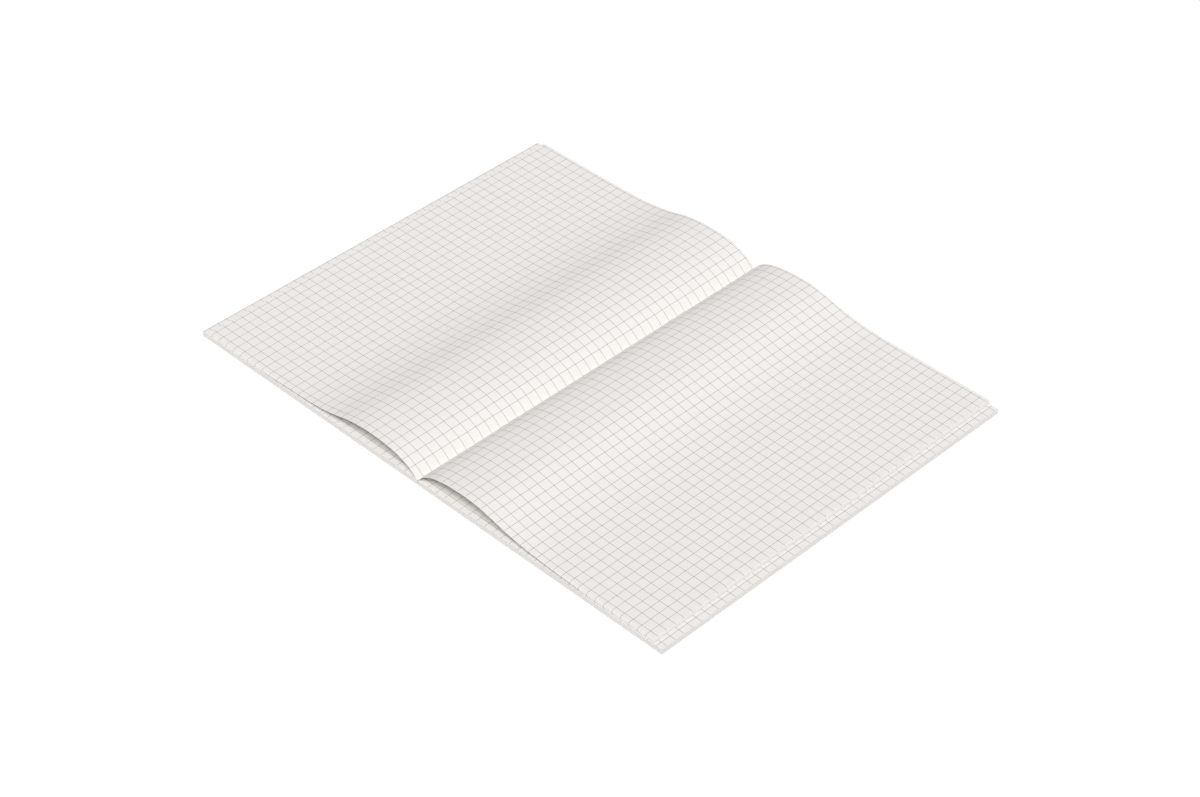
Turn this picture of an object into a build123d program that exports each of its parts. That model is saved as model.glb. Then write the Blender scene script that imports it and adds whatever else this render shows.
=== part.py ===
"""A stapled exercise book of squared paper, lying open at its centre sheet.

X runs across the open spread, Y along the spine and Z up. The origin is on the table under the
middle of the spine. The front half of the book lies towards -X and the back half towards +X.
"""
import os
from math import cos, pi, radians, sin

from build123d import *

os.makedirs("parts", exist_ok=True)

# Page and paper
page_width = 145.0  # trimmed A5, spine to fore-edge
page_height = 210.0  # head to tail
paper = 0.115  # one leaf
leaf_air = 0.010  # air between two leaves that lie on each other
stack_leaves = 19  # leaves in each half under the centre sheet
cover_card = 0.30  # cover board
fold_gap = 0.70  # clear width along the spine, where the folds lie round the staples

# Staples
wire = 0.50  # wire diameter
staple_length = 12.0  # crown, over its bends
staple_spacing = 105.0  # between the middles of the two staples
staple_bend = 0.60  # centre-line radius of every bend
clinch_length = 5.2  # each leg's bent end
crown_lift = 0.02  # crown above the table
clinch_sink = 0.05  # middle of the clinched wire below the top of the stack

# Arch of the centre sheet, the same on both sides of the spine
arch_start_x = 0.50  # where the leaf leaves the fold
arch_start_lift = 0.30  # height of that line above the stack
rise_angle = 48.0  # slope at the fold
shoulder_angle = 15.0  # slope where the rise meets the crown
fall_angle = 14.0  # steepest slope down towards the fore-edge
rise_radius = 24.0
crown_radius = 58.0
fall_length = 10.0  # straight stretch of the fall
toe_radius = 120.0
centre_creep = 1.7  # the centre leaf is trimmed this much narrower than the cover
bend_gap = 0.16  # clear width of a bend line between two strips of the leaf

# Each strip of the centre leaf, with the distance from the fold at which it starts
strip_starts = {"rise": 0.0, "crest": 14.0, "fall": 30.0, "page": 60.0}

# Derived sizes
half_page = page_height / 2
fold_half = fold_gap / 2
leaf_pitch = paper + leaf_air
first_leaf_z = cover_card + leaf_air
stack_top = first_leaf_z + stack_leaves * leaf_pitch - leaf_air
centre_width = page_width - centre_creep
sides = {"front": -1, "back": 1}

# Centre-line of the arch: stretches of constant curvature, with their length and turn in radians
arch_stretches = [
    (rise_radius * radians(rise_angle - shoulder_angle), -1 / rise_radius),
    (crown_radius * radians(shoulder_angle + fall_angle), -1 / crown_radius),
    (fall_length, 0.0),
    (toe_radius * radians(fall_angle), 1 / toe_radius),
]
arch_stretches.append((centre_width - sum(length for length, _ in arch_stretches), 0.0))


def arch_joints():
    """Distances from the fold at which one stretch of the arch ends and the next begins."""
    joints = [0.0]
    for length, _ in arch_stretches:
        joints.append(joints[-1] + length)
    return joints


def arch_point(distance, offset, side):
    """Point of the arch at a distance along the paper, moved by offset along its normal."""
    x = arch_start_x
    z = stack_top + arch_start_lift
    angle = radians(rise_angle)
    left = distance
    for length, turn in arch_stretches:
        run = min(left, length)
        end = angle + turn * run
        if turn:
            x += (sin(end) - sin(angle)) / turn
            z += (cos(angle) - cos(end)) / turn
        else:
            x += run * cos(angle)
            z += run * sin(angle)
        angle = end
        left -= run
        if left <= 0:
            break
    return side * (x - offset * sin(angle)), z + offset * cos(angle)


def strip_runs(start, end):
    """The parts of the arch's stretches that lie between two distances, as (start, end, turn)."""
    joints = arch_joints()
    runs = []
    for first, last, (_, turn) in zip(joints, joints[1:], arch_stretches):
        low, high = max(first, start), min(last, end)
        if high > low:
            runs.append((low, high, turn))
    return runs


def draw_run(low, high, turn, offset, side):
    """Draw one run of a strip's face as an arc or a line, in the current line builder."""
    ends = [arch_point(low, offset, side), arch_point(high, offset, side)]
    if turn:
        ThreePointArc(ends[0], arch_point((low + high) / 2, offset, side), ends[1])
    else:
        Line(*ends)


def save(part, name):
    """Label a finished piece and write it to its own file."""
    part.label = name
    export_step(part, f"parts/{name}.step")


# Cover boards, lying on the table under the leaves
for half, side in sides.items():
    with BuildPart() as cover:
        with BuildSketch(Plane.XY):
            with Locations((side * (fold_half + page_width) / 2, 0)):
                Rectangle(page_width - fold_half, page_height)
        extrude(amount=cover_card)
    save(cover.part, f"{half}_cover")

# Leaves of the stack, numbered from the cover up to the centre sheet
for half, side in sides.items():
    for number in range(stack_leaves):
        with BuildPart() as leaf:
            with BuildSketch(Plane.XY.offset(first_leaf_z + number * leaf_pitch)):
                with Locations((side * (fold_half + page_width) / 2, 0)):
                    Rectangle(page_width - fold_half, page_height)
            extrude(amount=paper)
        save(leaf.part, f"{half}_leaf_{number + 1:02d}")

# Centre sheet: each leaf is cut along its bend lines, so that it can flex as paper does
strip_ends = [*list(strip_starts.values())[1:], centre_width]
for half, side in sides.items():
    for (strip_name, start), end in zip(strip_starts.items(), strip_ends):
        low = start + (bend_gap / 2 if start else 0)
        high = end - (bend_gap / 2 if end < centre_width else 0)
        runs = strip_runs(low, high)
        with BuildPart() as strip:
            with BuildSketch(Plane.XZ):
                with BuildLine():
                    for run in runs:
                        draw_run(*run, paper / 2, side)
                        draw_run(*run, -paper / 2, side)
                    Line(arch_point(low, paper / 2, side), arch_point(low, -paper / 2, side))
                    Line(arch_point(high, paper / 2, side), arch_point(high, -paper / 2, side))
                make_face()
            extrude(amount=half_page, both=True)
        save(strip.part, f"{half}_centre_{strip_name}")

# Staples: the crown lies in the crease under the spine, and the legs are clinched in the gutter
crown_z = crown_lift + wire / 2
clinch_z = stack_top - clinch_sink
leg_y = staple_length / 2 - wire / 2
tip_y = leg_y - clinch_length
staple_path = [
    (0, -tip_y, clinch_z),
    (0, -leg_y, clinch_z),
    (0, -leg_y, crown_z),
    (0, leg_y, crown_z),
    (0, leg_y, clinch_z),
    (0, tip_y, clinch_z),
]
wire_length = 2 * (clinch_length + clinch_z - crown_z + leg_y) - 4 * staple_bend * (2 - pi / 2)
for name, end in {"head_staple": 1, "tail_staple": -1}.items():
    middle_y = end * staple_spacing / 2
    with BuildPart() as staple:
        with BuildLine() as path:
            FilletPolyline(*[(x, middle_y + y, z) for x, y, z in staple_path], radius=staple_bend)
        with BuildSketch(Plane(origin=path.line @ 0, z_dir=path.line % 0)):
            Circle(wire / 2)
        sweep()
    print(name, "volume over section times length", staple.part.volume / (pi * wire**2 / 4 * wire_length))
    save(staple.part, name)

print("stack top", stack_top, "fore-edge of the centre leaf", arch_point(centre_width, 0, 1))
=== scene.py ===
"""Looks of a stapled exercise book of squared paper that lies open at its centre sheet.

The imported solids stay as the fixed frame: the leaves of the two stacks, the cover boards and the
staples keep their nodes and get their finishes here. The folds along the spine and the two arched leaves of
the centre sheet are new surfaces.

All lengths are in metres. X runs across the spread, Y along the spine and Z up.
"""

import logging
from dataclasses import dataclass, field
from enum import Enum
from typing import Any

import bpy
import numpy as np
from mathutils import Matrix


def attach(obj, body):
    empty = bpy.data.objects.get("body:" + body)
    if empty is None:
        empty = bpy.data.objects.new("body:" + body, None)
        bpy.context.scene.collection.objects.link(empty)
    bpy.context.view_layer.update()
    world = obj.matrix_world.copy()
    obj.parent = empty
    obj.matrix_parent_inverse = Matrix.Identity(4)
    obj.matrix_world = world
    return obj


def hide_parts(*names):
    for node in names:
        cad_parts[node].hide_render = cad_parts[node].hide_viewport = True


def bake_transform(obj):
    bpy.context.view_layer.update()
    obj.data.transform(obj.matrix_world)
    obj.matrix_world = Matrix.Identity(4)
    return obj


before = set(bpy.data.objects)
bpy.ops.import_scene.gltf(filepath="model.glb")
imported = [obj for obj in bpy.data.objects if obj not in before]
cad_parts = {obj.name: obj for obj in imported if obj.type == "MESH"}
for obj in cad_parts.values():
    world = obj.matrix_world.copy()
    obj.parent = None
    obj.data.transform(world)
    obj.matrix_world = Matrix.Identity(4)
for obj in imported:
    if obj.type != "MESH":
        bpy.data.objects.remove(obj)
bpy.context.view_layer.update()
LOG = logging.getLogger("exercise_book")
Array = np.ndarray
Point = tuple[float, float, float]
Colour = tuple[float, float, float, float]
UV_METRES = 0.1  # one unit of a leaf's UV map
UV_NAME = "page"
# point attribute holding the share of painted shade on an arched leaf's turned-down edges
TURNED_NAME = "turned"
SHARP_ANGLE = 50.0  # degrees between two faces above which their edge is shown sharp


class Half(Enum):
    """The two halves of the open book, with the side of the spine on which each lies."""

    FRONT = -1
    BACK = 1

    @property
    def word(self) -> str:
        """The half's name as the frame's nodes and bodies spell it."""
        return self.name.lower()


class Surface(Enum):
    """What a paper finish reads its place on the page from."""

    LEAF_UV = "distance from the fold along the bent leaf"
    FLAT = "distance from the spine on a flat leaf"


@dataclass(frozen=True)
class Paper:
    """Sizes of the page and of what is bound in it."""

    width: float = 0.145
    height: float = 0.210
    thickness: float = 0.000115
    air: float = 0.000010
    leaves: int = 19
    card: float = 0.00030
    fold_half: float = 0.00035

    @property
    def pitch(self) -> float:
        """Height that each leaf adds to a stack."""
        return self.thickness + self.air

    @property
    def first_leaf(self) -> float:
        """Height of the lowest leaf's underside."""
        return self.card + self.air

    @property
    def stack_top(self) -> float:
        """Height of the top of either stack."""
        return self.first_leaf + self.leaves * self.pitch - self.air


PAPER = Paper()


@dataclass(frozen=True)
class Arch:
    """Line of a centre leaf across the book: arcs and straights end to end, as in the solids.

    The last straight reaches past the leaf's cut edge.
    """

    start_x: float = 0.00050
    start_lift: float = 0.00030
    start_angle: float = 48.0
    shoulder_angle: float = 15.0
    fall_angle: float = 14.0
    rise_radius: float = 0.024
    crown_radius: float = 0.058
    fall_length: float = 0.010
    toe_radius: float = 0.120
    reach: float = 0.150

    def stretches(self) -> list[tuple[float, float]]:
        """Lengths and curvatures of the stretches, from the fold to the fore-edge.

        Returns:
            Pairs of a stretch's length and its curvature, which is negative where the leaf bends down.
        """
        runs = [
            (self.rise_radius * np.radians(self.start_angle - self.shoulder_angle), -1 / self.rise_radius),
            (self.crown_radius * np.radians(self.shoulder_angle + self.fall_angle), -1 / self.crown_radius),
            (self.fall_length, 0.0),
            (self.toe_radius * np.radians(self.fall_angle), 1 / self.toe_radius),
        ]
        return [*runs, (self.reach - sum(length for length, _ in runs), 0.0)]

    def line(self, distance: Array) -> tuple[Array, Array, Array]:
        """Place and slope of the leaf at distances from the fold along the paper.

        Each stretch adds what an arc of its curvature adds: (sin(end) - sin(start)) / curvature across and
        (cos(start) - cos(end)) / curvature up, and a straight adds its run along its slope.

        Args:
            distance: distances from the fold.

        Returns:
            Distance from the spine, height above the table, and slope in radians.
        """
        x = np.full_like(distance, self.start_x)
        z = np.full_like(distance, PAPER.stack_top + self.start_lift)
        slope = np.full_like(distance, np.radians(self.start_angle))
        begin, entry = 0.0, np.radians(self.start_angle)
        for length, bend in self.stretches():
            run = np.clip(distance - begin, 0.0, length)
            leave = entry + bend * run
            if bend:
                x += (np.sin(leave) - np.sin(entry)) / bend
                z += (np.cos(entry) - np.cos(leave)) / bend
            else:
                x += run * np.cos(entry)
                z += run * np.sin(entry)
            slope += bend * run
            entry += bend * length
            begin += length
        return x, z, slope

    def point(self, distance: float, half: Half) -> Point:
        """The point of the arch in the middle of the book's height, as a place for a bend."""
        x, z, _ = self.line(np.array([distance]))
        return float(half.value * x[0]), 0.0, float(z[0])


ARCH = Arch()


@dataclass(frozen=True)
class Lie:
    """How one centre leaf lies.

    It is cut at its length, and its outer part is shifted towards the head. Its tail edge, and its
    fore-edge where that is set, are turned down towards the stack. The turn gives the distances from the
    fold at which this begins and is full. The lifts are heights off the mean arch at the stations.
    """

    length: float
    shift: float
    turned_fore: bool
    turn: tuple[float, float]
    lifts: tuple[float, ...]
    stations: tuple[float, ...] = (
        *(0.0, 0.004, 0.008, 0.017, 0.028, 0.037, 0.046),
        *(0.058, 0.076, 0.090, 0.110, 0.128, 0.1433),
    )

    def height(self, distance: Array) -> Array:
        """Extra height at distances from the fold, as a smooth curve through the lifts.

        Between two stations the curve is the cubic whose ends have the stations' lifts and slopes, with a
        station's slope taken from its neighbours and level ends.

        Args:
            distance: distances from the fold.

        Returns:
            Heights to add to the arch.
        """
        places, lifts = np.array(self.stations), np.array(self.lifts)
        slopes = np.gradient(lifts, places)
        slopes[[0, -1]] = 0.0
        number = np.clip(np.searchsorted(places, distance, side="right") - 1, 0, len(places) - 2)
        span = places[number + 1] - places[number]
        t = np.clip((distance - places[number]) / span, 0.0, 1.0)
        near = (1 + 2 * t) * (1 - t) ** 2 * lifts[number] + t * (1 - t) ** 2 * span * slopes[number]
        far = t**2 * (3 - 2 * t) * lifts[number + 1] - t**2 * (1 - t) * span * slopes[number + 1]
        return near + far


LIES = {
    Half.FRONT: Lie(
        length=0.14360,
        shift=0.0004,
        turned_fore=False,
        turn=(0.086, 0.108),
        lifts=(
            *(0.0, -6e-5, -32e-5, -45e-5, -62e-5, -28e-5, 35e-5),
            *(14e-5, -4e-5, -42e-5, -60e-5, -61e-5, -60e-5),
        ),
    ),
    Half.BACK: Lie(
        length=0.14253,
        shift=0.0006,
        turned_fore=True,
        turn=(0.076, 0.104),
        lifts=(
            *(0.0, 46e-5, 40e-5, 20e-5, 4e-5, 40e-5, 78e-5),
            *(60e-5, 34e-5, -5e-5, -24e-5, -30e-5, -33e-5),
        ),
    ),
}


@dataclass(frozen=True)
class Squares:
    """Where the squares are printed on a page.

    Columns and rows are each the place of one line, from the fold or the middle, and the lines' pitch.
    The print stops short of the edges by the margin.
    """

    columns: tuple[float, float]
    rows: tuple[float, float]
    margin: float


LEAF_SQUARES = {
    Half.FRONT: Squares((0.00070, 0.005030), (0.00358, 0.005012), 0.0002),
    Half.BACK: Squares((0.00305, 0.004815), (0.00368, 0.005012), 0.0006),
}
STACK_SQUARES = {
    Half.FRONT: Squares((0.00345, 0.005034), (0.00346, 0.005), 0.0001),
    Half.BACK: Squares((0.00141, 0.005012), (0.00297, 0.005), 0.0001),
}


@dataclass(frozen=True)
class Ink:
    """How a printed line looks: its half width, its soft edge, and how its ink varies over the page."""

    core: float = 0.00008
    edge: float = 0.00019
    strength: float = 0.68
    patch_scale: float = 260.0
    patch_range: tuple[float, float] = (0.3, 0.7)
    patch_least: float = 0.86
    fold_clear: tuple[float, float] = (0.0015, 0.0018)
    margin_begin: float = 0.5


INK = Ink()


@dataclass(frozen=True)
class Tooth:
    """Scales of the paper's clouds and fibres, and the share of each in the height."""

    cloud_scale: float = 420.0
    fibre_scale: float = 4200.0
    cloud_share: float = 0.35
    fibre_share: float = 0.65


TOOTH = Tooth()


class Nodes:
    """A node tree under construction, with short ways to add and join nodes."""

    def __init__(self, tree: bpy.types.NodeTree) -> None:
        """Start from an empty tree."""
        self.tree = tree
        tree.nodes.clear()

    def add(self, kind: str, inputs: dict[Any, Any] | None = None, **settings: Any) -> bpy.types.Node:
        """Add a node, set its options and fill or link its inputs.

        Args:
            kind: the node's type name.
            inputs: values or output sockets by input name or number.
            **settings: the node's own options.

        Returns:
            The node.
        """
        node = self.tree.nodes.new(kind)
        for name, value in settings.items():
            setattr(node, name, value)
        for name, value in (inputs or {}).items():
            if isinstance(value, bpy.types.NodeSocket):
                self.tree.links.new(value, node.inputs[name])
            else:
                node.inputs[name].default_value = value
        return node

    def math(self, operation: str, *values: Any, clamp: bool = False) -> bpy.types.NodeSocket:
        """Add a Math node on sockets or numbers and give its result."""
        node = self.add("ShaderNodeMath", dict(enumerate(values)), operation=operation, use_clamp=clamp)
        return node.outputs[0]

    def ramp(self, value: Any, low: float, high: float, first: float, last: float) -> bpy.types.NodeSocket:
        """Add a smooth step from first to last as a value goes from low to high."""
        node = self.add(
            "ShaderNodeMapRange",
            {"Value": value, "From Min": low, "From Max": high, "To Min": first, "To Max": last},
            interpolation_type="SMOOTHSTEP",
        )
        return node.outputs["Result"]

    def mix(self, share: Any, first: Any, second: Any, blend: str = "MIX") -> bpy.types.NodeSocket:
        """Add a colour Mix node and give its colour."""
        node = self.add(
            "ShaderNodeMix", {0: share, 6: first, 7: second}, data_type="RGBA", blend_type=blend
        )
        return node.outputs[2]


def new_group(name: str, inputs: dict[str, str], outputs: dict[str, str]) -> tuple[Nodes, Any, Any]:
    """Make an empty shader node group with named sockets.

    Args:
        name: the group's name.
        inputs: socket types by input name.
        outputs: socket types by output name.

    Returns:
        The group's nodes, its input node's sockets and its output node's sockets.
    """
    tree = bpy.data.node_groups.new(name, "ShaderNodeTree")
    for label, kind in inputs.items():
        tree.interface.new_socket(label, in_out="INPUT", socket_type=kind)
    for label, kind in outputs.items():
        tree.interface.new_socket(label, in_out="OUTPUT", socket_type=kind)
    nodes = Nodes(tree)
    return nodes, nodes.add("NodeGroupInput").outputs, nodes.add("NodeGroupOutput").inputs


def paper_tooth_group() -> bpy.types.NodeTree:
    """Fibres and cloudiness of uncoated paper, from two noises in real size.

    Returns:
        A group that turns a position into a tint near 1 and a height for bump.
    """
    nodes, given, out = new_group(
        "paper_tooth",
        {"Position": "NodeSocketVector", "Cloud": "NodeSocketFloat"},
        {"Tint": "NodeSocketFloat", "Height": "NodeSocketFloat"},
    )
    clouds = nodes.add(
        "ShaderNodeTexNoise",
        {"Vector": given["Position"], "Scale": TOOTH.cloud_scale, "Detail": 3.0, "Roughness": 0.6},
    ).outputs[0]
    fibres = nodes.add(
        "ShaderNodeTexNoise",
        {"Vector": given["Position"], "Scale": TOOTH.fibre_scale, "Detail": 2.0, "Roughness": 0.7},
    ).outputs[0]
    spread = nodes.math("MULTIPLY", nodes.math("SUBTRACT", clouds, 0.5), given["Cloud"])
    grain = nodes.math("MULTIPLY", nodes.math("SUBTRACT", fibres, 0.5), given["Cloud"])
    tint = nodes.math("ADD", nodes.math("ADD", 1.0, spread), grain)
    height = nodes.math(
        "ADD",
        nodes.math("MULTIPLY", clouds, TOOTH.cloud_share),
        nodes.math("MULTIPLY", fibres, TOOTH.fibre_share),
    )
    nodes.tree.links.new(tint, out["Tint"])
    nodes.tree.links.new(height, out["Height"])
    return nodes.tree


def squared_print_group() -> bpy.types.NodeTree:
    """Ink of a squared page: thin lines one square apart both ways, darker where they cross.

    Each line's ink falls off smoothly with the distance to the nearest line, which is the position
    wrapped to one square. The print stops short of the page's edges, and no column runs in the fold.

    Returns:
        A group that turns a position on the page into an amount of ink and the distances to the fore-edge
        and to the nearer of head and tail.
    """
    nodes, given, out = new_group(
        "squared_print",
        {
            "Position": "NodeSocketVector",
            "Column pitch": "NodeSocketFloat",
            "Column start": "NodeSocketFloat",
            "Row pitch": "NodeSocketFloat",
            "Row start": "NodeSocketFloat",
            "Page width": "NodeSocketFloat",
            "Half height": "NodeSocketFloat",
            "Margin": "NodeSocketFloat",
        },
        dict.fromkeys(("Ink", "Side", "End"), "NodeSocketFloat"),
    )
    place = nodes.add("ShaderNodeSeparateXYZ", {0: given["Position"]}).outputs

    def line(along: Any, start: Any, pitch: Any) -> bpy.types.NodeSocket:
        """Ink of one set of lines."""
        half = nodes.math("MULTIPLY", pitch, 0.5)
        offset = nodes.math(
            "WRAP", nodes.math("SUBTRACT", along, start), half, nodes.math("MULTIPLY", half, -1.0)
        )
        return nodes.ramp(nodes.math("ABSOLUTE", offset), INK.core, INK.edge, INK.strength, 0.0)

    columns = line(place["X"], given["Column start"], given["Column pitch"])
    clear = nodes.ramp(place["X"], *INK.fold_clear, 0.0, 1.0)
    rows = line(place["Y"], given["Row start"], given["Row pitch"])
    both = nodes.math("ADD", nodes.math("MULTIPLY", columns, clear), rows)
    side = nodes.math("SUBTRACT", given["Page width"], place["X"])
    end = nodes.math("SUBTRACT", given["Half height"], nodes.math("ABSOLUTE", place["Y"]))
    inside = nodes.math("DIVIDE", nodes.math("MINIMUM", side, end), given["Margin"])
    margin = nodes.ramp(inside, INK.margin_begin, 1.0, 0.0, 1.0)
    uneven = nodes.add(
        "ShaderNodeTexNoise", {"Vector": given["Position"], "Scale": INK.patch_scale, "Detail": 2.0}
    ).outputs[0]
    strength = nodes.ramp(uneven, *INK.patch_range, INK.patch_least, 1.0)
    ink = nodes.math("MULTIPLY", nodes.math("MULTIPLY", both, margin), strength, clamp=True)
    nodes.tree.links.new(ink, out["Ink"])
    nodes.tree.links.new(side, out["Side"])
    nodes.tree.links.new(end, out["End"])
    return nodes.tree


@dataclass(frozen=True)
class PaperFinish:
    """Uncoated off-white paper with its printed squares.

    A stack has painted shade along its cut edges, which darkens its side faces, and a tone for each of its
    leaves. An arched leaf has painted shade where its edges are turned down.
    """

    name: str
    surface: Surface
    squares: Squares
    page_width: float
    # painted shade on a stack's cut edges: the colour darkens towards an edge over its reach, so the side
    # faces are darker
    edge_reach: float = 0.00002
    edge_begin: float = 0.6  # share of the reach
    edge_painted_shade: float = 0.92
    leaf_tones: tuple[float, float] = (0.975, 1.01)
    # painted shade on an arched leaf's turned-down edges
    turned_painted_shade: float = 0.92
    colour: Colour = (0.856, 0.826, 0.802, 1.0)
    ink: Colour = (0.235, 0.270, 0.268, 1.0)
    roughness: float = 0.9
    gloss: float = 0.22
    cloud: float = 0.03
    bump_strength: float = 0.25
    bump_depth: float = 0.00003

    def position(self, nodes: Nodes) -> bpy.types.NodeSocket:
        """Distance from the fold and place along the spine, as a vector in metres.

        Args:
            nodes: the material's nodes.

        Returns:
            The vector's socket.
        """
        if self.surface is Surface.LEAF_UV:
            uv = nodes.add("ShaderNodeUVMap", uv_map=UV_NAME).outputs[0]
            scaled = nodes.add("ShaderNodeVectorMath", {0: uv, "Scale": UV_METRES}, operation="SCALE")
            return scaled.outputs[0]
        coordinates = nodes.add("ShaderNodeTexCoord").outputs["Object"]
        place = nodes.add("ShaderNodeSeparateXYZ", {0: coordinates}).outputs
        across = nodes.math("ABSOLUTE", place["X"])
        return nodes.add("ShaderNodeCombineXYZ", {"X": across, "Y": place["Y"], "Z": place["Z"]}).outputs[0]

    def stack_shade_and_tones(self, nodes: Nodes, printed: bpy.types.Node) -> list[bpy.types.NodeSocket]:
        """Painted shade along a stack's cut edges, and a tone for each leaf from its number in the stack.

        Args:
            nodes: the material's nodes.
            printed: the squared print, which knows the distances to the edges.

        Returns:
            The sockets of the painted edge shade and of the leaf tone.
        """
        reach = self.edge_reach
        # painted shade: the colour darkens within the reach of each cut edge, which takes in the side faces
        edges = [
            nodes.ramp(printed.outputs[label], self.edge_begin * reach, reach, self.edge_painted_shade, 1.0)
            for label in ("Side", "End")
        ]
        place = nodes.add("ShaderNodeTexCoord").outputs["Object"]
        height = nodes.add("ShaderNodeSeparateXYZ", {0: place}).outputs["Z"]
        count = nodes.math("DIVIDE", nodes.math("SUBTRACT", height, PAPER.card), PAPER.pitch)
        number = nodes.math("FLOOR", nodes.math("ADD", count, 0.02))  # a leaf's underside counts as its own
        noise = nodes.add("ShaderNodeTexWhiteNoise", {"W": number}, noise_dimensions="1D").outputs["Value"]
        return [*edges, nodes.ramp(noise, 0.0, 1.0, *self.leaf_tones)]

    def make(self, tooth: bpy.types.NodeTree, squares: bpy.types.NodeTree) -> bpy.types.Material:
        """Build the material.

        Args:
            tooth: the paper tooth group.
            squares: the squared print group.

        Returns:
            The material.
        """
        material, nodes = new_material(self.name)
        position = self.position(nodes)
        grain = nodes.add("ShaderNodeGroup", node_tree=tooth)
        nodes.tree.links.new(nodes.add("ShaderNodeTexCoord").outputs["Object"], grain.inputs["Position"])
        grain.inputs["Cloud"].default_value = self.cloud
        printed = nodes.add("ShaderNodeGroup", node_tree=squares)
        nodes.tree.links.new(position, printed.inputs["Position"])
        for label, value in {
            "Column start": self.squares.columns[0],
            "Column pitch": self.squares.columns[1],
            "Row start": self.squares.rows[0],
            "Row pitch": self.squares.rows[1],
            "Page width": self.page_width,
            "Half height": PAPER.height / 2,
            "Margin": self.squares.margin,
        }.items():
            printed.inputs[label].default_value = value
        if self.surface is Surface.FLAT:
            # a stack gets painted shade along its cut edges and a tone for each leaf
            tones = self.stack_shade_and_tones(nodes, printed)
        else:
            # painted shade where an arched leaf's edges are turned down
            turned = nodes.add("ShaderNodeAttribute", attribute_name=TURNED_NAME).outputs["Fac"]
            tones = [nodes.ramp(turned, 0.0, 1.0, 1.0, self.turned_painted_shade)]
        tint = grain.outputs["Tint"]
        for tone in tones:
            tint = nodes.math("MULTIPLY", tint, tone)
        paper = nodes.mix(1.0, self.colour, tint, "MULTIPLY")
        colour = nodes.mix(printed.outputs["Ink"], paper, self.ink)
        bump = nodes.add(
            "ShaderNodeBump",
            {
                "Strength": self.bump_strength,
                "Distance": self.bump_depth,
                "Height": grain.outputs["Height"],
            },
        )
        shader = nodes.add(
            "ShaderNodeBsdfPrincipled",
            {"Base Color": colour, "Roughness": self.roughness, "Normal": bump.outputs[0]},
        )
        shader.inputs["Specular IOR Level"].default_value = self.gloss
        finish_material(nodes, shader)
        return material


@dataclass(frozen=True)
class CardFinish:
    """Plain off-white cover card, a little rougher than the paper."""

    name: str = "cover_card"
    colour: Colour = (0.800, 0.770, 0.745, 1.0)
    roughness: float = 0.82
    gloss: float = 0.3
    cloud: float = 0.06
    bump_strength: float = 0.4
    bump_depth: float = 0.00005

    def make(self, tooth: bpy.types.NodeTree) -> bpy.types.Material:
        """Build the material from the paper tooth group."""
        material, nodes = new_material(self.name)
        grain = nodes.add("ShaderNodeGroup", node_tree=tooth)
        nodes.tree.links.new(nodes.add("ShaderNodeTexCoord").outputs["Object"], grain.inputs["Position"])
        grain.inputs["Cloud"].default_value = self.cloud
        colour = nodes.mix(1.0, self.colour, grain.outputs["Tint"], "MULTIPLY")
        bump = nodes.add(
            "ShaderNodeBump",
            {
                "Strength": self.bump_strength,
                "Distance": self.bump_depth,
                "Height": grain.outputs["Height"],
            },
        )
        shader = nodes.add(
            "ShaderNodeBsdfPrincipled",
            {"Base Color": colour, "Roughness": self.roughness, "Normal": bump.outputs[0]},
        )
        shader.inputs["Specular IOR Level"].default_value = self.gloss
        finish_material(nodes, shader)
        return material


@dataclass(frozen=True)
class WireFinish:
    """Drawn staple wire with fine streaks along it."""

    name: str = "staple_wire"
    colour: Colour = (0.60, 0.60, 0.61, 1.0)
    streak_scale: float = 9000.0
    streak_stretch: Point = (1.0, 0.06, 1.0)
    shades: tuple[float, float] = (0.8, 1.0)
    roughnesses: tuple[float, float] = (0.26, 0.44)

    def make(self) -> bpy.types.Material:
        """Build the material: a noise stretched along the crown streaks its roughness and colour."""
        material, nodes = new_material(self.name)
        place = nodes.add("ShaderNodeTexCoord").outputs["Object"]
        along = nodes.add("ShaderNodeMapping", {"Vector": place, "Scale": self.streak_stretch}).outputs[0]
        streaks = nodes.add(
            "ShaderNodeTexNoise", {"Vector": along, "Scale": self.streak_scale, "Detail": 3.0}
        ).outputs[0]
        shade = nodes.ramp(streaks, 0.25, 0.75, *self.shades)
        colour = nodes.mix(1.0, self.colour, shade, "MULTIPLY")
        shader = nodes.add(
            "ShaderNodeBsdfPrincipled",
            {"Base Color": colour, "Roughness": nodes.ramp(streaks, 0.2, 0.8, *self.roughnesses)},
        )
        shader.inputs["Metallic"].default_value = 1.0
        finish_material(nodes, shader)
        return material


def new_material(name: str) -> tuple[bpy.types.Material, Nodes]:
    """Make an empty node material and give it with its nodes."""
    material = bpy.data.materials.new(name)
    material.use_nodes = True
    return material, Nodes(material.node_tree)


def finish_material(nodes: Nodes, shader: bpy.types.Node) -> None:
    """Join a shader to the material's output."""
    output = nodes.add("ShaderNodeOutputMaterial")
    nodes.tree.links.new(shader.outputs[0], output.inputs["Surface"])


class Rim(Enum):
    """Edges of a thin sheet that can be closed with a strip."""

    LOW = "first row across the book"
    HIGH = "last row across the book"
    ENDS = "both ends along the spine"


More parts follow.
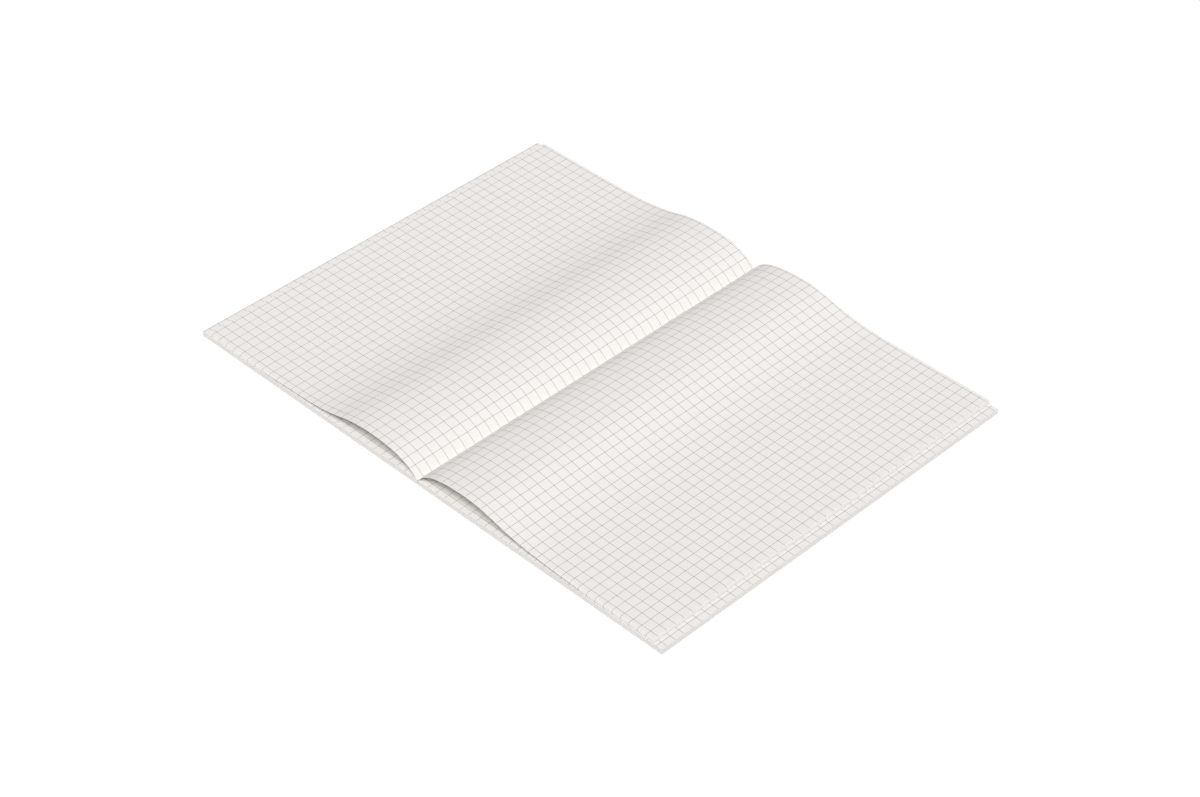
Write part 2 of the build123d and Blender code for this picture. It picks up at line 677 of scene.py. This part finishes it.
def sheet_faces(rows: int, columns: int, rims: set[Rim], first: int = 0) -> Array:
    """Quads of a thin sheet whose upper grid comes before its lower one.

    Upper faces run low-high across and tail-head along, so they point up; the lower ones run the other
    way round, and each rim joins an edge of the upper grid to the same edge of the lower grid.

    Args:
        rows: grid rows across the book, by rising X.
        columns: grid columns along the spine, by rising Y.
        rims: the edges to close.
        first: number of the sheet's first vertex.

    Returns:
        Vertex numbers, four to a face.
    """
    upper = np.arange(rows * columns).reshape(rows, columns)
    lower = upper + rows * columns

    def patch(grid: Array) -> Array:
        """Quads of one grid, by its corner shifts."""
        return np.stack([grid[:-1, :-1], grid[1:, :-1], grid[1:, 1:], grid[:-1, 1:]], -1).reshape(-1, 4)

    def strip(top: Array, bottom: Array) -> Array:
        """Quads between two edges, top edge first."""
        return np.stack([top[:-1], top[1:], bottom[1:], bottom[:-1]], -1)

    faces = [patch(upper), patch(lower)[:, ::-1]]
    if Rim.LOW in rims:
        faces.append(strip(upper[0], lower[0]))
    if Rim.HIGH in rims:
        faces.append(strip(upper[-1], lower[-1])[:, ::-1])
    if Rim.ENDS in rims:
        faces.append(strip(upper[:, 0], lower[:, 0])[:, ::-1])
        faces.append(strip(upper[:, -1], lower[:, -1]))
    return np.concatenate(faces) + first


def make_piece(
    name: str, points: Array, faces: Array, page: Array, material: bpy.types.Material
) -> bpy.types.Object:
    """Put a sheet into a new object at the origin, with a UV map of places on the page.

    Args:
        name: the piece's name.
        points: vertices in the row frame.
        faces: vertex numbers, four to a face.
        page: distance from the fold and place along the spine of each vertex.
        material: its finish.

    Returns:
        The object.
    """
    mesh = bpy.data.meshes.new(name)
    mesh.from_pydata(points.tolist(), [], faces.tolist())
    layer = mesh.uv_layers.new(name=UV_NAME)
    corners = np.empty(len(mesh.loops), np.int64)
    mesh.loops.foreach_get("vertex_index", corners)
    layer.data.foreach_set("uv", (page[corners] / UV_METRES).ravel().astype(np.float32))
    mesh.polygons.foreach_set("use_smooth", np.ones(len(mesh.polygons), bool))
    mesh.set_sharp_from_angle(angle=np.radians(SHARP_ANGLE))
    mesh.materials.append(material)
    piece = bpy.data.objects.new(name, mesh)
    bpy.context.scene.collection.objects.link(piece)
    LOG.info("piece %s: %d vertices, %d faces", name, len(points), len(faces))
    return piece


@dataclass
class CentreLeaf:
    """One arched leaf of the centre sheet, as five pieces that meet between its bend lines.

    The bends and joins are distances from the fold. The turn's width, power and depth shape the edges that
    are turned down, which stay clear of the stack. A drop of the turn's mark or more gets the full painted
    shade of a turned edge.
    The leaf slides towards the head over the slide's span.
    """

    half: Half
    lie: Lie
    material: bpy.types.Material
    bends: tuple[float, float, float] = (0.014, 0.030, 0.060)
    joins: tuple[float, float, float, float] = (0.007, 0.0221, 0.045, 0.075)
    turn_width: float = 0.0007
    turn_power: float = 1.35
    turn_depth: float = 0.0012
    turn_clear: float = 0.00006
    # drop at which a turned edge gets its full painted shade
    turn_mark: float = 0.00015
    turn_reach: float = 1.25  # span of the close steps, in widths of the turn
    slide_span: tuple[float, float] = (0.040, 0.100)
    rows: tuple[int, int, int, int, int] = (29, 49, 61, 61, 24)
    columns: int = 42
    edge_rows: int = 11
    places: Array = field(init=False)

    def __post_init__(self) -> None:
        """Space the places along the spine evenly, and closely where the tail turns down."""
        tail, head = -PAPER.height / 2, PAPER.height / 2
        even = np.linspace(tail + 2 * self.turn_width, head, self.columns)
        self.places = np.concatenate([tail + self.edge_steps(), even])

    def edge_steps(self) -> Array:
        """Close steps inwards from an edge that is turned down."""
        return np.linspace(0.0, self.turn_reach * self.turn_width, self.edge_rows)

    def slide(self, distance: Array) -> Array:
        """How far the leaf lies towards the head: a smooth step over the slide's span to the full shift."""
        begin, full = self.slide_span
        t = np.clip((distance - begin) / (full - begin), 0.0, 1.0)
        return self.lie.shift * t**2 * (3 - 2 * t)

    def dip(self, distance: Array, z: Array) -> Array:
        """How far the turned-down edges drop the leaf at distances from the fold and places on the spine.

        The drop grows as a power of the distance into the turn. It is as deep as the room above the stack
        lets it be, and it fades out towards the fold.

        Args:
            distance: distances from the fold.
            z: heights of the leaf there.

        Returns:
            A drop for each distance and place.
        """
        room = np.clip(z - PAPER.stack_top - PAPER.thickness / 2 - self.turn_clear, 0.0, self.turn_depth)
        begin, full = self.lie.turn
        depth = room * np.clip((distance - begin) / (full - begin), 0.0, 1.0)
        tail, fore = (
            np.clip(1.0 - inwards / self.turn_width, 0.0, 1.0) ** self.turn_power
            for inwards in (self.places - self.places[0], self.lie.length - distance)
        )
        share = np.maximum(tail[None, :], self.lie.turned_fore * fore[:, None])
        return depth[:, None] * share

    def body(self, strip: str) -> str:
        """Name of the frame's body for one strip of this leaf."""
        return f"{self.half.word}_centre_{strip}"

    def sheet(self, name: str, distance: Array, rims: set[Rim]) -> bpy.types.Object:
        """Make the stretch of leaf between the first and last of some distances from the fold.

        The middle surface is the arch with the leaf's lie added and the turned edges' drop taken off, and
        the faces stand half the paper's thickness off it along the arch's normal (-sin(slope), cos(slope)).

        Args:
            name: the piece's name.
            distance: rising distances from the fold.
            rims: edges to close, as seen from the fold outwards.

        Returns:
            The piece.
        """
        x, z, slope = ARCH.line(distance)
        z = z + self.lie.height(distance)
        drop = self.dip(distance, z)
        along = self.places[None, :] + self.slide(distance)[:, None]
        sides = [
            np.stack(
                np.broadcast_arrays(
                    self.half.value * (x - shift * np.sin(slope))[:, None],
                    along,
                    (z + shift * np.cos(slope))[:, None] - drop,
                ),
                -1,
            )
            for shift in (PAPER.thickness / 2, -PAPER.thickness / 2)
        ]
        page = np.stack(np.broadcast_arrays(distance[:, None], along), -1)
        if self.half is Half.FRONT:
            sides = [side[::-1] for side in sides]
            page, drop = page[::-1], drop[::-1]
            swap = {Rim.LOW: Rim.HIGH, Rim.HIGH: Rim.LOW, Rim.ENDS: Rim.ENDS}
            rims = {swap[rim] for rim in rims}
        points = np.concatenate([side.reshape(-1, 3) for side in sides])
        faces = sheet_faces(len(distance), len(self.places), rims)
        piece = make_piece(name, points, faces, np.tile(page.reshape(-1, 2), (2, 1)), self.material)
        # share of painted shade at each vertex, full where the turned edge has dropped by the turn's mark
        mark = np.clip(drop / self.turn_mark, 0.0, 1.0).ravel()
        attribute = piece.data.attributes.new(TURNED_NAME, "FLOAT", "POINT")
        attribute.data.foreach_set("value", np.tile(mark, 2))
        return piece

    def build(self) -> None:
        """Make the five pieces, from the fold to the fore-edge, and tie the first and the last to the
        frame's bodies.
        """
        word = self.half.word
        first, second, third, last = self.joins
        bend_in, bend_mid, bend_out = self.bends
        edge = self.lie.length - 2 * self.turn_width
        limits = ((0.0, first), (first, second), (second, third), (third, last), (last, edge))
        runs = [np.linspace(begin, end, count) for (begin, end), count in zip(limits, self.rows)]
        outwards = np.concatenate([runs[4], self.lie.length - self.edge_steps()[::-1]])
        root = self.sheet(f"{word}_leaf_root", runs[0], {Rim.LOW, Rim.ENDS})
        crown = self.sheet(f"{word}_leaf_crown", runs[1], {Rim.ENDS})
        slope = self.sheet(f"{word}_leaf_slope", runs[2], {Rim.ENDS})
        toe = self.sheet(f"{word}_leaf_toe", runs[3], {Rim.ENDS})
        flat = self.sheet(f"{word}_leaf_page", outwards, {Rim.HIGH, Rim.ENDS})
        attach(root, self.body("rise"))
        self.across(crown, "rise", "crest", bend_in, bend_in - first)
        self.across(slope, "crest", "fall", bend_mid, bend_mid - second)
        self.across(toe, "fall", "page", bend_out, bend_out - third)
        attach(flat, self.body("page"))
        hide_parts(self.body("rise"))
        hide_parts(self.body("crest"))
        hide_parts(self.body("fall"))
        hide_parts(self.body("page"))

    def across(self, piece: bpy.types.Object, inner: str, outer: str, bend: float, reach: float) -> None:
        """Find the arch's points a reach from one bend line on both sides, and bake the piece's place into
        it.

        Args:
            piece: the piece.
            inner: the strip nearer the fold; not used.
            outer: the strip nearer the fore-edge; not used.
            bend: the bend line's distance from the fold.
            reach: how far from the line the two points lie.
        """
        ARCH.point(bend - reach, self.half)
        ARCH.point(bend + reach, self.half)
        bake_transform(piece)


@dataclass
class Spine:
    """The folds along the spine: the centre sheet's, the other sheets' and, round them, the cover's."""

    leaf: bpy.types.Material
    paper: bpy.types.Material
    card: bpy.types.Material
    sheet_end: float = 0.0040
    cover_end: float = 0.0004
    groove: float = 0.00026
    valley: float = 0.00010
    pressed: float = 0.92  # share of the paper's thickness that is left in a fold
    rows: int = 33
    columns: int = 22

    def fold(
        self, reach: float, bottom: float, thickness: float, rise: float, end: float
    ) -> tuple[Array, Array]:
        """Upper and lower grids of one fold, a strip across the spine that is raised or sunk in its middle.

        The rise is a squared cosine of the distance from the spine, which is 0 at the leaves on both sides.

        Args:
            reach: distance from the spine to the leaves on both sides.
            bottom: height of the underside at the leaves.
            thickness: thickness of the paper or card.
            rise: height of the middle above the sides, below 0 for a valley.
            end: how far the strip stops short of the head and tail.

        Returns:
            Vertices of both grids, and their places on the page.
        """
        x = np.linspace(-reach, reach, self.rows)[:, None]
        y = np.linspace(end - PAPER.height / 2, PAPER.height / 2 - end, self.columns)[None, :]
        hump = rise * np.cos(np.pi * x / (2 * reach)) ** 2
        grids = [
            np.stack(np.broadcast_arrays(x, y, bottom + level + hump), -1).reshape(-1, 3)
            for level in (thickness, 0.0)
        ]
        points = np.concatenate(grids)
        return points, np.stack([np.zeros(len(points)), points[:, 1]], -1)

    def build(self) -> None:
        """Make the three kinds of fold as a piece each."""
        rims = {Rim.LOW, Rim.HIGH, Rim.ENDS}
        strips = [
            self.fold(
                PAPER.fold_half,
                PAPER.first_leaf + number * PAPER.pitch,
                PAPER.thickness * self.pressed,
                self.groove * (1.0 - number / PAPER.leaves),
                self.sheet_end,
            )
            for number in range(PAPER.leaves)
        ]
        size = 2 * self.rows * self.columns
        faces = [
            sheet_faces(self.rows, self.columns, rims, size * number) for number in range(PAPER.leaves)
        ]
        sheets = make_piece(
            "sheet_folds",
            np.concatenate([points for points, _ in strips]),
            np.concatenate(faces),
            np.concatenate([page for _, page in strips]),
            self.paper,
        )
        points, page = self.fold(PAPER.fold_half, 0.0, PAPER.card, self.groove, self.cover_end)
        cover = make_piece("cover_fold", points, faces[0], page, self.card)
        foot = PAPER.stack_top + ARCH.start_lift - PAPER.thickness / 2
        points, page = self.fold(ARCH.start_x, foot, PAPER.thickness, self.valley - ARCH.start_lift, 0.0)
        centre = make_piece("centre_fold", points, faces[0], page, self.leaf)
        self.tie(sheets)
        self.tie(cover)
        self.tie(centre)

    def tie(self, piece: bpy.types.Object) -> None:
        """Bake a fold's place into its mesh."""
        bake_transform(piece)


@dataclass
class Binding:
    """What the frame's own nodes show: the stacked leaves, the cover boards and the staples."""

    leaves: dict[Half, bpy.types.Material]
    card: bpy.types.Material
    wire: bpy.types.Material

    def dress(self) -> None:
        """Give each node its finish."""
        for name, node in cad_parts.items():
            half = Half.FRONT if name.startswith("front") else Half.BACK
            if "_leaf_" in name:
                finish = self.leaves[half]
            elif name.endswith("_cover"):
                finish = self.card
            elif name.endswith("_staple"):
                finish = self.wire
            else:
                continue
            for slot in node.material_slots:
                slot.material = finish
            LOG.info("node %s: %s", name, finish.name)


@dataclass(frozen=True)
class Lamp:
    """A broad, soft lamp far off: where it stands round the book, how high, how strong and how wide."""

    name: str
    turn: float
    height: float
    strength: float
    width: float

    def build(self) -> None:
        """Place the lamp; its turn is measured from the tail of the book towards the back half."""
        data = bpy.data.lights.new(self.name, "SUN")
        data.energy = self.strength
        data.angle = np.radians(self.width)
        lamp = bpy.data.objects.new(self.name, data)
        lamp.rotation_euler = (0.0, np.radians(90.0 - self.height), np.radians(self.turn - 90.0))
        bpy.context.scene.collection.objects.link(lamp)


@dataclass(frozen=True)
class Studio:
    """Floor, light and camera. Angles are in degrees and the lens in millimetres."""

    azimuth: float = 45.5685
    elevation: float = 39.6748
    distance: float = 1.2751377
    target: Point = (0.0141574, -0.0098463, 0.0)
    roll: float = -0.5472
    lens: float = 86.8756
    sensor: float = 36.0
    clip: tuple[float, float] = (0.01, 50.0)
    sky: float = 0.33
    lamp: Lamp = Lamp("key", turn=45.0, height=53.6, strength=2.55, width=22.0)
    floor_side: float = 3.0
    floor_gap: float = 0.00002
    floor_glow: float = 1.03
    floor_share: float = 0.94

    def camera(self) -> None:
        """Place the camera on a sphere round the target and turn it about its own line of sight."""
        turn, height, roll = np.radians([self.azimuth, self.elevation, self.roll])
        target = np.array(self.target)
        out = np.array([np.sin(turn) * np.cos(height), -np.cos(turn) * np.cos(height), np.sin(height)])
        right = np.cross(-out, [0.0, 0.0, 1.0])
        right /= np.linalg.norm(right)
        up = np.cross(right, -out)
        across = np.cos(roll) * right + np.sin(roll) * up
        above = np.cos(roll) * up - np.sin(roll) * right
        place = np.eye(4)
        place[:3] = np.stack([across, above, out, target + self.distance * out], -1)
        data = bpy.data.cameras.new("camera")
        data.lens = self.lens
        data.sensor_fit = "HORIZONTAL"
        data.sensor_width = self.sensor
        data.clip_start, data.clip_end = self.clip
        camera = bpy.data.objects.new("camera", data)
        camera.matrix_world = Matrix(place.tolist())
        bpy.context.scene.collection.objects.link(camera)
        bpy.context.scene.camera = camera

    def seen(self, nodes: Nodes) -> bpy.types.NodeSocket:
        """1 for what the camera, a reflection or a clear piece looks at, and 0 for light that falls."""
        path = nodes.add("ShaderNodeLightPath").outputs
        direct = nodes.math("MAXIMUM", path["Is Camera Ray"], path["Is Glossy Ray"])
        return nodes.math("MAXIMUM", direct, path["Is Transmission Ray"])

    def light(self) -> None:
        """Even white surroundings and one soft lamp, from between the tail and the back half's side."""
        world = bpy.data.worlds.new("surroundings")
        bpy.context.scene.world = world
        world.use_nodes = True
        nodes = Nodes(world.node_tree)
        strength = nodes.ramp(self.seen(nodes), 0.0, 1.0, self.sky, 1.0)
        back = nodes.add("ShaderNodeBackground", {"Color": (1.0, 1.0, 1.0, 1.0), "Strength": strength})
        nodes.tree.links.new(back.outputs[0], nodes.add("ShaderNodeOutputWorld").inputs["Surface"])
        self.lamp.build()

    def floor(self) -> None:
        """A white floor that keeps a faint shadow of the book."""
        square = np.array([[-1.0, -1.0, 0.0], [1.0, -1.0, 0.0], [1.0, 1.0, 0.0], [-1.0, 1.0, 0.0]])
        corners = self.floor_side * square - [0.0, 0.0, self.floor_gap]
        mesh = bpy.data.meshes.new("floor")
        mesh.from_pydata(corners.tolist(), [], [[0, 1, 2, 3]])
        material, nodes = new_material("floor_white")
        matt = nodes.add("ShaderNodeBsdfDiffuse", {"Color": (0.9, 0.9, 0.9, 1.0)})
        glow = nodes.add("ShaderNodeEmission", {"Color": (1.0, 1.0, 1.0, 1.0), "Strength": self.floor_glow})
        share = nodes.ramp(self.seen(nodes), 0.0, 1.0, 0.0, self.floor_share)
        both = nodes.add("ShaderNodeMixShader", {0: share, 1: matt.outputs[0], 2: glow.outputs[0]})
        finish_material(nodes, both)
        mesh.materials.append(material)
        floor = bpy.data.objects.new("floor", mesh)
        bpy.context.scene.collection.objects.link(floor)

    def build(self) -> None:
        """Set up the view, the camera, the light and the floor."""
        bpy.context.scene.view_settings.view_transform = "Standard"
        self.camera()
        self.light()
        self.floor()


def main() -> None:
    """Build the finishes, the book's pieces and the studio."""
    logging.basicConfig(level=logging.INFO, format="%(message)s")
    tooth, squares = paper_tooth_group(), squared_print_group()
    leaf = {
        half: PaperFinish(f"{half.word}_leaf_paper", Surface.LEAF_UV, LEAF_SQUARES[half], LIES[half].length)
        for half in Half
    }
    stack = {
        half: PaperFinish(f"{half.word}_stack_paper", Surface.FLAT, STACK_SQUARES[half], PAPER.width)
        for half in Half
    }
    stacked = {half: finish.make(tooth, squares) for half, finish in stack.items()}
    card = CardFinish().make(tooth)
    Binding(stacked, card, WireFinish().make()).dress()
    leaves = {half: finish.make(tooth, squares) for half, finish in leaf.items()}
    Spine(leaves[Half.FRONT], stacked[Half.BACK], card).build()
    for half in Half:
        CentreLeaf(half, LIES[half], leaves[half]).build()
    Studio().build()
    bpy.context.view_layer.update()


if __name__ == "__main__":
    main()
